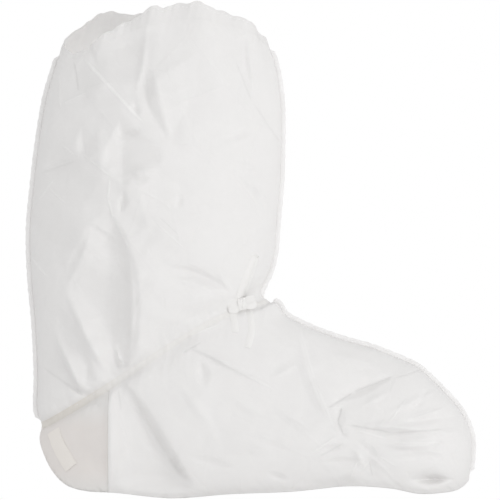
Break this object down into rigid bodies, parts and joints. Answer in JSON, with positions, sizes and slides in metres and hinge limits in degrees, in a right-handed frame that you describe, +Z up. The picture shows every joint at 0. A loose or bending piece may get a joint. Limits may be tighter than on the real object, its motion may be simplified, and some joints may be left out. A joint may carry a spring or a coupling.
{
  "type": "boot shoe cover",
  "caption": "High disposable shoe cover of thin white nonwoven cloth, with a gathered elastic mouth, a tape tied at the ankle and a flat coated sole.",
  "frame": {"origin": "centre of the object's box, at the flat underside of the sole", "axes": "+X towards the toe, +Z up the leg, the knot of the ankle tape is on the -Y side"},
  "size_m": [0.4174, 0.1399, 0.4592],
  "materials": {
    "nonwoven_cloth": "matt white nonwoven cloth with a fine bonded grain, slightly see-through",
    "coated_sole": "off-white cloth with a thin soft plastic coating, a little warmer and smoother",
    "elastic_hem": "folded nonwoven cloth gathered over a narrow elastic",
    "tie_tape": "narrow folded nonwoven tape, slightly creamy",
    "seam_edge": "overlocked raw edges of the cloth, matt white",
    "heel_tape": "smooth pale beige seam tape"
  },
  "bodies": {
    "root": {"right_side_panel": "nonwoven_cloth", "left_side_panel": "nonwoven_cloth", "sole": "coated_sole", "elastic_hem": "elastic_hem", "ankle_tape": "tie_tape", "shin_seam": "seam_edge", "instep_seam": "seam_edge", "back_seam": "seam_edge", "tie_knot": "tie_tape", "tie_loop": "tie_tape", "tie_tail_back": "tie_tape", "tie_tail_front": "tie_tape", "heel_tape": "heel_tape"}
  },
  "joints": []
}
